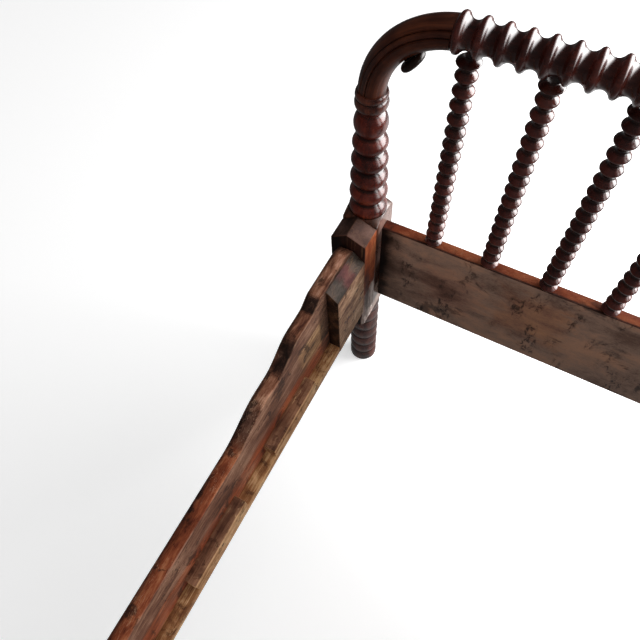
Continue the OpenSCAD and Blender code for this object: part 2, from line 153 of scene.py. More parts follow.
def vectorOf(tree, x=0.0, y=0.0, z=0.0):
    return firstOf(tree, "ShaderNodeCombineXYZ", {0: x, 1: y, 2: z})


def between(value, low, high):
    # 0 at low and 1 at high, smooth from one to the other
    values = {"Value": value, "From Min": low, "From Max": high}
    return numberOf(value.tree, "ShaderNodeMapRange", values, interpolation_type="SMOOTHSTEP")


def blendColour(tree, share, first, second):
    return addNode(tree, "ShaderNodeMix", {0: share, 6: first, 7: second}, data_type="RGBA").outputs[2]


def newMaterial(name):
    material = bpy.data.materials.new(name)
    material.use_nodes = True
    return material, material.node_tree


def newPiece(name, mesh):
    piece = bpy.data.objects.new(name, mesh)
    bpy.context.scene.collection.objects.link(piece)
    return piece


def smoothMesh(mesh, angle=38):
    for face in mesh.polygons:
        face.use_smooth = True
    mesh.set_sharp_from_angle(angle=math.radians(angle))


def meshOf(name, points, faces=()):
    mesh = bpy.data.meshes.new(name)
    mesh.from_pydata(points, [], faces)
    return mesh


@contextmanager
def opened(mesh):
    # the mesh opened for work, and written back when the work is done
    work = bmesh.new()
    work.from_mesh(mesh)
    yield work
    work.to_mesh(mesh)
    work.free()


def mergeAndTurnOut(mesh, distance=0.000002):
    with opened(mesh) as work:
        bmesh.ops.remove_doubles(work, verts=work.verts, dist=distance)
        bmesh.ops.recalc_face_normals(work, faces=work.faces)


def meshFromRows(name, rows, marks):
    # rows of points round a closed section, one after the other, with a face at each end
    count = len(rows[0])
    faces = []
    for r in range(len(rows) - 1):
        for c in range(count):
            following = (c + 1) % count
            faces.append((r * count + c, r * count + following,
                          (r + 1) * count + following, (r + 1) * count + c))
    last = (len(rows) - 1) * count
    faces.append(tuple(reversed(range(count))))
    faces.append(tuple(range(last, last + count)))
    mesh = meshOf(name, [p for row in rows for p in row], faces)
    for label, values in marks.items():
        flat = [v for row in values for v in row]
        if isinstance(flat[0], float):
            mesh.attributes.new(label, "FLOAT", "POINT").data.foreach_set("value", flat)
        else:
            layer = mesh.attributes.new(label, "FLOAT_VECTOR", "POINT")
            layer.data.foreach_set("vector", [c for v in flat for c in v])
    mergeAndTurnOut(mesh)
    smoothMesh(mesh)
    return mesh


def evaluated(piece):
    # the piece with its modifiers worked into a plain mesh
    graph = bpy.context.evaluated_depsgraph_get()
    mesh = bpy.data.meshes.new_from_object(piece.evaluated_get(graph), depsgraph=graph)
    piece.modifiers.clear()
    old = piece.data
    piece.data = mesh
    bpy.data.meshes.remove(old)
    return mesh


def roundEdges(piece, width, segments=3, sharpest=32):
    # rounded edges, with the mark "worn" on the middle of each rounding
    modifier = piece.modifiers.new("edges", "BEVEL")
    modifier.width = width
    modifier.segments = segments
    modifier.limit_method = "ANGLE"
    modifier.angle_limit = math.radians(sharpest)
    modifier.material = 1
    for _ in range(2):
        piece.data.materials.append(None)
    mesh = evaluated(piece)
    with opened(mesh) as work:
        layer = work.verts.layers.float.new("worn")
        for vertex in work.verts:
            vertex[layer] = float(all(f.material_index == 1 for f in vertex.link_faces))
        for face in work.faces:
            face.material_index = 0
    mesh.materials.clear()
    smoothMesh(mesh, 30)
    return mesh


def slab(name, outline, depth, placing):
    # an outline drawn out over a depth; placing turns (a, b, depth) into a point of the bed
    points = [placing(a, b, depth[0]) for a, b in outline] + [placing(a, b, depth[1]) for a, b in outline]
    count = len(outline)
    faces = [tuple(range(count)), tuple(reversed(range(count, 2 * count)))]
    faces += [(i, (i + 1) % count, (i + 1) % count + count, i + count) for i in range(count)]
    mesh = meshOf(name, points, faces)
    mergeAndTurnOut(mesh)
    return newPiece(name, mesh)


def finishPiece(piece, material, nodes):
    piece.data.materials.clear()
    piece.data.materials.append(material)
    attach(piece, "root")
    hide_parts(*nodes)


# camera, lights and floor

cameraLook = dict(
    place=(-0.34184, 0.32523, 1.33078),
    right=(0.87809, 0.47597, -0.04904),
    down=(0.39584, -0.78017, -0.48439),
    forward=(-0.26882, 0.40593, -0.87347),
    lens=32.93, sensor=36,
)


def makeCamera(look):
    camera = bpy.data.objects.new("camera", bpy.data.cameras.new("camera"))
    bpy.context.scene.collection.objects.link(camera)
    camera.data.lens = look["lens"]
    camera.data.sensor_width = look["sensor"]
    right, down, forward = (Vector(look[k]) for k in ("right", "down", "forward"))
    turn = Matrix((right, -down, -forward)).transposed()
    camera.matrix_world = Matrix.Translation(look["place"]) @ turn.to_4x4()
    bpy.context.scene.camera = camera


studio = dict(
    windowPlace=(0.95, 2.12, 0.78), windowAim=(-0.5, 0.9, 0.55), windowSize=(1.5, 1.2),
    windowPower=70, skyPlace=(0.4, 1.6, 3.0), skySize=(2.4, 2.4), skyPower=8,
    windowSide=(0.93, -0.22, 0.28), softFrom=-0.35, softTo=1.0, dim=0.04, bright=1.1,
    shineSide=(0.81, 0.55, 0.20), shineFrom=0.57, shineTo=0.97, shine=12.5, dimShine=0.03,
    floorColour=0.9, floorBounce=0.09, floorGlow=0.36, glowInGloss=0.04,
    floorReach=14, poolPlace=(0.55, 1.85, 0), poolCore=0.2, poolReach=1.75, poolGlow=1.3,
)


def addLamp(name, place, aim, size, power):
    lamp = bpy.data.lights.new(name, "AREA")
    lamp.shape = "RECTANGLE"
    lamp.size, lamp.size_y = size
    lamp.energy = power
    holder = bpy.data.objects.new(name, lamp)
    holder.location = place
    holder.rotation_euler = (Vector(aim) - Vector(place)).to_track_quat("-Z", "Y").to_euler()
    holder.visible_camera = holder.visible_glossy = False
    bpy.context.scene.collection.objects.link(holder)


def seenDirectly(tree, inGloss):
    # 1 for what the camera sees itself, less for what it sees in a reflection
    path = addNode(tree, "ShaderNodeLightPath").outputs
    bent = Number(tree, path["Is Glossy Ray"]) + path["Is Transmission Ray"]
    return (bent * inGloss + path["Is Camera Ray"]).by("MINIMUM", 1.0)


def makeRoom(look):
    addLamp("window", look["windowPlace"], look["windowAim"], look["windowSize"], look["windowPower"])
    addLamp("sky", look["skyPlace"], look["windowAim"], look["skySize"], look["skyPower"])
    world = bpy.data.worlds.new("studio")
    bpy.context.scene.world = world
    world.use_nodes = True
    tree = world.node_tree
    direction = addNode(tree, "ShaderNodeTexCoord").outputs["Generated"]

    def glowTowards(side, start, end, dim, bright):
        off = measure(tree, "DOT_PRODUCT", direction, side)
        return between(off, start, end) * (bright - dim) + dim

    # a broad soft light for the surfaces, and a tighter bright window for the varnish to mirror
    soft = glowTowards(look["windowSide"], look["softFrom"], look["softTo"], look["dim"], look["bright"])
    window = glowTowards(look["shineSide"], look["shineFrom"], look["shineTo"], look["dimShine"], look["shine"])
    mirrored = Number(tree, addNode(tree, "ShaderNodeLightPath").outputs["Is Glossy Ray"])
    room = window * mirrored + soft * (1.0 - mirrored)
    backdrop = tree.nodes["Background"]
    backdrop.inputs["Color"].default_value = (1, 1, 1, 1)
    feed(tree, backdrop.inputs["Strength"], seenDirectly(tree, look["glowInGloss"]).by("MAXIMUM", room))


def makeFloor(look):
    reach = look["floorReach"]
    square = [(-reach, -reach, 0), (reach, -reach, 0), (reach, reach, 0), (-reach, reach, 0)]
    mesh = meshOf("floor", square, [(0, 1, 2, 3)])
    floor = newPiece("floor", mesh)
    material, tree = newMaterial("paleFloor")
    tree.nodes.clear()
    seen = seenDirectly(tree, look["glowInGloss"])
    pale, dull = ((look[k],) * 3 + (1,) for k in ("floorColour", "floorBounce"))
    matte = firstOf(tree, "ShaderNodeBsdfDiffuse", {"Color": blendColour(tree, seen, dull, pale)})
    # a painted pool of light: the floor glows brighter below the window, in the camera's view and in the varnish
    place = addNode(tree, "ShaderNodeTexCoord").outputs["Object"]
    off = measure(tree, "DISTANCE", place, look["poolPlace"])
    pool = between(off, look["poolReach"], look["poolCore"]) * look["poolGlow"] * seenDirectly(tree, 1.0)
    strength = seen * look["floorGlow"] + pool
    glow = firstOf(tree, "ShaderNodeEmission", {"Color": (1, 1, 1, 1), "Strength": strength})
    both = firstOf(tree, "ShaderNodeAddShader", {0: matte, 1: glow})
    addNode(tree, "ShaderNodeOutputMaterial", {"Surface": both})
    mesh.materials.append(material)
    floor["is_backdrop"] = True


makeCamera(cameraLook)
makeRoom(studio)
makeFloor(studio)
bpy.context.scene.view_settings.view_transform = "Standard"
print("camera, lights and floor made")


# finishes

# the noises of the finishes: scale, detail, roughness and distortion
noises = dict(
    figure=(60, 5, 0.62, 0.6), fibre=(620, 5, 0.7, 0.2), blotch=(9, 5, 0.62, 0.3),
    ragged=(60, 6, 0.7, 0.5), stain=(24, 7, 0.68, 0.4), cluster=(22, 2, 0.5, 0.0),
    speck=(130, 5, 0.7, 0.6), scratch=(46, 3, 0.5, 1.6), dent=(130, 3, 0.5, 0.0),
    rust=(300, 6, 0.7, 0.3),
)

# what each wood has unless its own look says otherwise; a range runs from no share to a full one
plainLook = dict(
    follows=None, polished=None, patches=[],
    figureShare=0.42, blotchShare=0.36, fibreShare=0.22, spread=0.12,
    pores=0.5, poreRange=(0.58, 0.72), stains=0.4, stainFrom=0.56, stainSoft=0.07,
    specks=0.0, specksOn=None, speckShape=(1, 1, 0.45), clusterRange=(0.53, 0.63),
    speckRange=(0.46, 0.62), speckShift=(3.7, 1.3, 8.1),
    scratches=0.3, scratchWidth=0.012, scratchedRange=(0.44, 0.60),
    wear=0.5, wornRange=(0.42, 0.62), shadeAndDirt=0.8, shadeAndDirtFrom=0.6,
    dullness=0.25, shadeAndDirtDullness=0.25, polish=0.28, coat=0.0, coatRoughness=0.2, specular=0.4,
    bump=0.35, bumpDepth=0.0006, fibreDepth=0.6, dentDepth=0.7, scratchDepth=0.8,
)

# which way a face looks: its axis, where x and y count inwards and z upwards, and the range of its share
innerX, innerY, upper = (0, 0.75, 0.85), (1, 0.75, 0.85), (2, 0.75, 0.85)
outerX, outerY = (0, -0.75, -0.85), (1, -0.75, -0.85)
curved, sloped = (1, 0.0, 0.45), (2, 0.35, 0.6)


def paint(red, green, blue):
    # a colour as it is read off a screen, 0 to 255
    return tuple((v / 255 / 12.92 if v < 11 else ((v / 255 + 0.055) / 1.055) ** 2.4)
                 for v in (red, green, blue)) + (1.0,)


def colourRamp(tree, value, tones, stops=(0.0, 0.5, 1.0)):
    made = addNode(tree, "ShaderNodeValToRGB", {"Fac": value})
    made.color_ramp.elements.new(0.5)
    for element, stop, tone in zip(made.color_ramp.elements, stops, tones):
        element.position = stop
        element.color = paint(*tone)
    return made.outputs[0]


def noiseOf(tree, place, kind, ownScale=None):
    scale, detail, roughness, distortion = noises[kind]
    values = {"Vector": place, "Scale": ownScale or scale, "Detail": detail, "Roughness": roughness,
              "Distortion": distortion}
    return numberOf(tree, "ShaderNodeTexNoise", values)


def markOf(tree, name, output="Fac"):
    return addNode(tree, "ShaderNodeAttribute", attribute_name=name).outputs[output]


def roughen(tree, shader, height, strength, depth):
    values = {"Strength": strength, "Distance": depth, "Height": height}
    feed(tree, shader.inputs["Normal"], firstOf(tree, "ShaderNodeBump", values))


def patch(*tones, **where):
    # other tones on one part of a wood: on the faces that look one way, in a box, or both
    return {"tones": tones, "face": None, "low": None, "share": 1.0, **where}


def patchShare(tree, folded, area, ragged):
    # how far a point lies in a box, with a ragged edge; the same box on every corner
    low, high = Vector(area["low"]), Vector(area["high"])
    off = vectorCalc(tree, "ABSOLUTE", vectorCalc(tree, "SUBTRACT", folded, tuple((low + high) / 2)))
    x, y, z = partsOf(tree, vectorCalc(tree, "SUBTRACT", off, tuple((high - low) / 2)))
    edge = x.by("MAXIMUM", y).by("MAXIMUM", z) + (ragged - 0.5) * area["ragged"]
    return between(edge, area["soft"], -area["soft"]) * area["share"]


def woodFinish(name, ownLook):
    look = {**plainLook, **ownLook}
    material, tree = newMaterial(name)
    shader = tree.nodes["Principled BSDF"]
    place = addNode(tree, "ShaderNodeTexCoord").outputs["Object"]
    course = markOf(tree, look["follows"], "Vector") if look["follows"] else place
    along = firstOf(tree, "ShaderNodeMapping", {"Vector": course, "Scale": look["grain"]})
    figure = noiseOf(tree, along, "figure", look.get("figureScale"))
    fibre = noiseOf(tree, along, "fibre")
    blotch = noiseOf(tree, place, "blotch", look.get("blotchScale"))
    ragged = noiseOf(tree, course if look["follows"] else along, "ragged")
    tone = figure * look["figureShare"] + blotch * look["blotchShare"] + fibre * look["fibreShare"]
    tone = between(tone, 0.5 - look["spread"], 0.5 + look["spread"])
    colour = colourRamp(tree, tone, look["tones"])

    def lay(share, strength, tint):
        return blendColour(tree, share * strength, colour, paint(*tint))

    # x and y of the facing count inwards, to the middle of the bed, and z upwards
    inwards = vectorCalc(tree, "MULTIPLY", vectorCalc(tree, "SIGN", place), (-1, -1, 1))
    facing = firstOf(tree, "ShaderNodeVectorTransform",
                     {0: addNode(tree, "ShaderNodeNewGeometry").outputs["True Normal"]},
                     vector_type="NORMAL", convert_from="WORLD", convert_to="OBJECT")
    facing = partsOf(tree, vectorCalc(tree, "MULTIPLY", facing, inwards))

    def towards(face):
        axis, least, most = face
        return between(facing[axis], least, most)

    folded = vectorCalc(tree, "ABSOLUTE", place)
    for area in look["patches"]:
        share = patchShare(tree, folded, area, ragged) if area["low"] else area["share"]
        if area["face"]:
            share = towards(area["face"]) * share
        colour = blendColour(tree, share, colour, colourRamp(tree, tone, area["tones"]))
    colour = lay(between(fibre, *look["poreRange"]), look["pores"], look["poreColour"])
    stain = noiseOf(tree, place, "stain", look.get("stainScale"))
    stain = between(stain, look["stainFrom"], look["stainFrom"] + look["stainSoft"])
    colour = lay(stain, look["stains"], look["stainColour"])
    if look["specks"]:
        tall = firstOf(tree, "ShaderNodeMapping", {"Vector": place, "Scale": look["speckShape"]})
        moved = firstOf(tree, "ShaderNodeMapping", {"Vector": tall, "Location": look["speckShift"]})
        speck = between(noiseOf(tree, tall, "cluster"), *look["clusterRange"])
        speck = speck * between(noiseOf(tree, moved, "speck"), *look["speckRange"])
        if look["specksOn"]:
            speck = speck * towards(look["specksOn"])
        colour = lay(speck, look["specks"], look["stainColour"])
    # thin scratches where a noise passes its middle
    off = (noiseOf(tree, along, "scratch", look.get("scratchScale")) - 0.5).by("ABSOLUTE")
    scratch = (1.0 - between(off, 0.0, look["scratchWidth"])) * between(blotch, *look["scratchedRange"])
    colour = lay(scratch, look["scratches"], look["scratchColour"])
    rubbed = between(ragged, *look["wornRange"]) * markOf(tree, "worn")
    colour = lay(rubbed, look["wear"], look["wornColour"])
    # painted shade and dirt in the hollows: darker where the mark hollow is high, in grooves, valleys and joins,
    # and on the top bead under the spool rail
    shadeAndDirt = between(Number(tree, markOf(tree, "hollow")), look["shadeAndDirtFrom"], 1.0) * look["shadeAndDirt"]
    colour = blendColour(tree, shadeAndDirt, colour, paint(*look["shadeAndDirtColour"]))
    feed(tree, shader.inputs["Base Color"], colour)
    rough = (blotch - 0.5) * look["dullness"] + shadeAndDirt * look["shadeAndDirtDullness"] + look["roughness"]
    if look["polished"]:
        rough = rough - towards(look["polished"]) * look["polish"]
    feed(tree, shader.inputs["Roughness"], rough)
    shader.inputs["Coat Weight"].default_value = look["coat"]
    shader.inputs["Coat Roughness"].default_value = look["coatRoughness"]
    shader.inputs["Specular IOR Level"].default_value = look["specular"]
    height = fibre * look["fibreDepth"] + noiseOf(tree, place, "dent") * look["dentDepth"]
    roughen(tree, shader, height - scratch * look["scratchDepth"], look["bump"], look["bumpDepth"])
    return material


turnedLook = dict(
    grain=(1, 1, 0.07), blotchScale=14, roughness=0.28, dullness=0.12, coat=0.5,
    coatRoughness=0.19, specular=0.5, spread=0.17, tones=((40, 10, 6), (86, 26, 15), (132, 52, 33)),
    poreColour=(24, 7, 5), pores=0.3, stainColour=(20, 6, 4), stains=0.2,
    scratchColour=(140, 80, 58), scratches=0.08, wornColour=(150, 78, 50), wear=0.3,
    shadeAndDirtColour=(14, 4, 3), shadeAndDirt=0.85, shadeAndDirtDullness=-0.1, bump=0.07, scratchDepth=0.0,
)
bentLook = dict(turnedLook, follows="course", grain=(1, 1, 0.04), coat=0.28, coatRoughness=0.2, roughness=0.36,
                specular=0.32, tones=((26, 10, 6), (60, 26, 15), (104, 54, 33)), pores=0.7, bump=0.3)
# the button: darker tones, partly painted shade where it sits under the bend
buttonLook = dict(turnedLook, tones=((10, 5, 4), (20, 10, 7), (44, 25, 19)), coat=0.1, specular=0.3)
postLook = dict(turnedLook, patches=[
    # the square block: dark, with painted shadow of the board on its inner face, a painted highlight high up on
    # that face, raw wood where it split below
    # dark all over; beside the board, on the inner face, this is painted shadow
    patch((20, 8, 4), (44, 22, 13), (84, 50, 36),
          low=(0.575, 0.5, 0.27), high=(0.66, 1.0, 0.5525), soft=0.0005, ragged=0.0),
    # painted highlight: pale high up on the inner face, above the board
    patch((114, 76, 64), (180, 146, 134), (220, 200, 192),
          low=(0.575, 0.905, 0.430), high=(0.5835, 1.0, 0.5405), soft=0.016, ragged=0.03),
    patch((36, 22, 16), (178, 152, 138), (238, 228, 220),
          low=(0.575, 0.860, 0.268), high=(0.5835, 0.960, 0.352), soft=0.004, ragged=0.05),
    # the leg, and the collar
    patch((26, 11, 9), (64, 31, 25), (108, 66, 56),
          low=(0.5, 0.8, -0.01), high=(0.7, 1.0, 0.2705), soft=0.001, ragged=0.0),
    patch((24, 9, 7), (58, 23, 16), (112, 58, 42),
          low=(0.5, 0.8, 0.759), high=(0.7, 1.0, 0.80), soft=0.001, ragged=0.0)])
acrossLook = dict(turnedLook, grain=(0.07, 1, 1), shadeAndDirt=0.6, shadeAndDirtFrom=0.45, roughness=0.27, coat=0.72,
                  coatRoughness=0.27, tones=((34, 10, 8), (70, 24, 17), (104, 45, 34)))
spindleLook = dict(turnedLook, tones=((34, 11, 8), (70, 26, 19), (104, 48, 37)))
boardLook = dict(
    grain=(0.45, 1, 1), blotchScale=8, figureScale=26, roughness=0.62, specular=0.16,
    spread=0.14, tones=((58, 20, 10), (112, 52, 30), (152, 86, 56)), patches=[
        # the top edge, the bare inner face with two warm stretches, the outer face, painted shade in the corner
        # beside the post
        patch((12, 6, 4), (30, 15, 9), (56, 30, 20),
              low=(0.0, 0.90, 0.5), high=(0.6, 0.9140, 0.56), soft=0.0014, ragged=0.005, share=0.9),
        patch((98, 72, 60), (148, 120, 105), (182, 138, 113), face=innerY),
        patch((86, 48, 38), (142, 96, 78), (178, 128, 104), face=innerY,
              low=(0.40, 0.5, 0.36), high=(0.49, 1.0, 0.47), soft=0.03, ragged=0.12, share=0.5),
        patch((84, 44, 28), (146, 92, 64), (184, 130, 92), face=innerY,
              low=(0.24, 0.5, 0.37), high=(0.35, 1.0, 0.49), soft=0.03, ragged=0.12, share=0.55),
        patch((40, 16, 10), (62, 27, 18), (88, 44, 30), face=outerY),
        # painted shade in the corner beside the post, darkest nearest it
        patch((24, 12, 7), (56, 34, 22), (100, 66, 46), face=innerY,
              low=(0.545, 0.5, 0.29), high=(0.60, 1.0, 0.545), soft=0.022, ragged=0.05, share=0.55),
        patch((12, 5, 3), (27, 13, 8), (56, 30, 18), face=innerY,
              low=(0.566, 0.5, 0.29), high=(0.60, 1.0, 0.545), soft=0.010, ragged=0.03)],
    poreColour=(30, 16, 10), pores=0.25, stainColour=(24, 14, 10), stains=0.6, stainFrom=0.57,
    stainScale=13, scratchColour=(150, 112, 82), scratches=0.3, polished=outerY, specks=0.85,
    specksOn=innerY, wornColour=(56, 26, 16), wear=0.8, shadeAndDirtColour=(20, 12, 10), bump=0.45,
)
jointLook = dict(
    boardLook, polished=outerX, grain=(1, 1, 0.07), blotchScale=16, specular=0.2, stains=0.3,
    wornColour=(112, 64, 46), wear=0.5, tones=((34, 19, 15), (76, 52, 44), (110, 82, 72)), specks=0.0,
    scratches=0.35, patches=[
        patch((34, 13, 9), (64, 28, 19), (96, 50, 36), face=outerX),
        # the face towards the middle of the bed: dark finish, nearly black from painted shade
        patch((8, 3, 2), (22, 8, 5), (58, 26, 16), face=innerY),
        patch((44, 18, 11), (120, 57, 31), (184, 110, 70), face=innerX),
        patch((52, 36, 29), (198, 182, 174), (246, 240, 236),
              low=(0.50, 0.5, 0.2), high=(0.5875, 1.0, 0.390), soft=0.006, ragged=0.07)])
railLook = dict(
    boardLook, grain=(1, 0.16, 1), blotchScale=12, figureScale=90, scratchScale=110, scratches=0.65,
    # the pale grey worn colour on the rounded arrises is wear and a painted highlight along them
    stainScale=26, stains=0.8, stainFrom=0.55, pores=0.5, wornColour=(150, 116, 96), wear=0.5, specks=0.0,
    polished=outerX, tones=((54, 21, 11), (132, 66, 40), (178, 112, 76)), scratchColour=(204, 160, 128),
    patches=[
        # the top edge: paler towards the joint, with painted shade on its curves and along its outer arris
        patch((56, 26, 17), (136, 88, 66), (200, 152, 124),
              low=(0.5, 0.50, 0.3), high=(0.7, 0.86, 0.60), soft=0.05, ragged=0.06),
        patch((72, 38, 27), (166, 114, 90), (222, 176, 150),
              low=(0.5, 0.762, 0.3), high=(0.7, 0.86, 0.60), soft=0.02, ragged=0.05, share=0.8),
        # painted shade on the curves, which face away from the light
        patch((14, 7, 5), (40, 23, 18), (96, 66, 54), face=curved, share=0.95),
        # painted shade along the outer arris
        patch((16, 8, 6), (42, 21, 14), (84, 48, 34),
              low=(0.6245, -0.1, 0.3), high=(0.7, 0.86, 0.6), soft=0.004, ragged=0.014, share=0.85),
        # the faces: warmer low down, a pale stretch beside the pad, and the pad's painted shadow
        patch((38, 14, 9), (68, 30, 20), (100, 52, 36), face=outerX),
        patch((52, 30, 21), (106, 73, 58), (150, 116, 95), face=innerX),
        patch((84, 34, 18), (138, 66, 38), (170, 96, 60), face=innerX,
              low=(0.5, -0.1, 0.3), high=(0.6062, 0.85, 0.402), soft=0.006, ragged=0.03),
        patch((90, 62, 38), (160, 122, 86), (220, 182, 132), face=innerX,
              low=(0.5, 0.655, 0.40), high=(0.6062, 0.728, 0.465), soft=0.012, ragged=0.07, share=0.9),
        # painted shadow of the pad on the inner face
        patch((30, 18, 12), (54, 34, 24), (86, 58, 42), face=innerX,
              low=(0.5, 0.722, 0.3), high=(0.6062, 0.80, 0.60), soft=0.006, ragged=0.03)])
padLook = dict(
    boardLook, grain=(1, 0.22, 1), blotchScale=30, figureScale=60, scratches=0.5, stainColour=(36, 22, 14),
    stains=0.75, stainScale=42, specks=0.8, specksOn=None, wornColour=(60, 40, 28),
    tones=((78, 50, 38), (152, 116, 91), (210, 174, 142)), patches=[
        # the end face: dark end grain darkened further by painted shade
        patch((20, 10, 6), (46, 27, 17), (92, 60, 40), face=innerY),
        patch((34, 28, 24), (66, 58, 52), (98, 82, 74), face=sloped),
        patch((70, 34, 34), (104, 56, 54), (132, 80, 74), face=sloped,
              low=(0.5, 0.785, 0.5), high=(0.7, 0.815, 0.7), soft=0.008, ragged=0.05, share=0.7)])
ledgerLook = dict(
    boardLook, grain=(1, 0.06, 1), blotchScale=20, figureScale=90, stainColour=(50, 29, 19), stains=0.6,
    stainFrom=0.54, stainScale=60, pores=0.55, specks=0.4, specksOn=None, scratches=0.85, scratchScale=80,
    scratchColour=(216, 176, 128), wornColour=(196, 150, 104),
    tones=((72, 38, 22), (140, 96, 62), (208, 168, 122)), patches=[
        patch((112, 70, 44), (168, 126, 90), (212, 176, 136), face=innerX),
        patch((56, 30, 20), (104, 70, 52), (150, 108, 82), face=upper,
              low=(0.5, -0.1, 0.3755), high=(0.62, 0.9, 0.39), soft=0.0004, ragged=0.0)])

# the spool rail's wood has its grain along x
acrossWood = woodFinish("turnedWoodAcross", acrossLook)
spindleWood = woodFinish("spindleWood", spindleLook)
postWood = woodFinish("postWood", postLook)
bentWood = woodFinish("bentWood", bentLook)
buttonWood = woodFinish("buttonWood", buttonLook)
boardWood = woodFinish("boardWood", boardLook)
jointWood = woodFinish("jointWood", jointLook)
railWood = woodFinish("railWood", railLook)
padWood = woodFinish("padWood", padLook)
ledgerWood = woodFinish("ledgerWood", ledgerLook)

ironLook = dict(
    tones=((34, 26, 23), (62, 38, 27), (104, 56, 32)), stops=(0.35, 0.52, 0.68), metallic=0.4,
    roughRange=(0.2, 0.9), bump=0.5, bumpDepth=0.0004,
)


def ironFinish(look):
    material, tree = newMaterial("rustyIron")
    shader = tree.nodes["Principled BSDF"]
    rust = noiseOf(tree, addNode(tree, "ShaderNodeTexCoord").outputs["Object"], "rust")
    feed(tree, shader.inputs["Base Color"], colourRamp(tree, rust, look["tones"], look["stops"]))
    shader.inputs["Metallic"].default_value = look["metallic"]
    feed(tree, shader.inputs["Roughness"], between(rust, *look["roughRange"]))
    roughen(tree, shader, rust, look["bump"], look["bumpDepth"])
    return material


rustyIron = ironFinish(ironLook)
print("finishes made")


# posts

postSizes = dict(
    legRadius=0.031, legGroove=0.0037, footHeight=0.0344, legRings=6, legRingHeight=0.0355,
    shoulder=0.012, beads=5, beadHeight=0.0351, lowestBead=0.03225, ballRadius=0.0258,
    ballHeight=0.0401, beadGroove=0.009, cove=0.0076, ringHeight=0.0162, ringRadius=0.0246,
    topRingHeight=0.0108, topRingRadius=0.02375, blockRounding=0.0016, unevenness=0.00022,
    sharpness=1.35, footEdge=((0.0015, 0.0), (0.0003, 0.0022)), coneInset=0.0003, cornerSpare=0.001,
    sideStep=4, arrisTurns=(42.0, 43.2, 44.2, 45.0, 45.8, 46.8, 48.0, 86), blockEdge=0.0011,
    blockRows=40, blockGap=0.0004, coneRows=6, firstCut=0.0002, taper=1.5, beadCut=0.0016,
    topNeck=0.0018, coveRows=6, longWaves=38, shortWaves=160, shortShare=0.35, leastDip=0.02,
)


def beadPoints(z, height, neck, crest, count=18):
    # one turned bead as a circular arc: radius, height, depth of the hollow
    rise, half = crest - neck, height / 2
    radius = (rise ** 2 + half ** 2) / (2 * rise)
    widest = math.asin(min(1.0, half / radius))
    points = []
    for i in range(count):
        turn = widest * (2 * i / count - 1)
        r = crest - radius * (1 - math.cos(turn))
        points.append((r, z + half + radius * math.sin(turn), 1 - (r - neck) / rise))
    return points


def waveBead(z, height, neck, crest, sharpness, count=22):
    # one turned bead as a sharpened wave, with a deep narrow hollow to each side
    points = []
    for i in range(count):
        swell = math.sin(math.pi * i / count) ** sharpness
        points.append((neck + (crest - neck) * swell, z + height * i / count, 1 - swell))
    return points


def squareReach(turn, half, rounding):
    # how far the side of a square with rounded corners lies from its middle
    wide, narrow = abs(math.cos(turn)), abs(math.sin(turn))
    flat = half / max(wide, narrow)
    inner = half - rounding
    if min(wide, narrow) * flat <= inner:
        return flat
    return inner * (wide + narrow) + math.sqrt(rounding ** 2 - (inner * (wide - narrow)) ** 2)


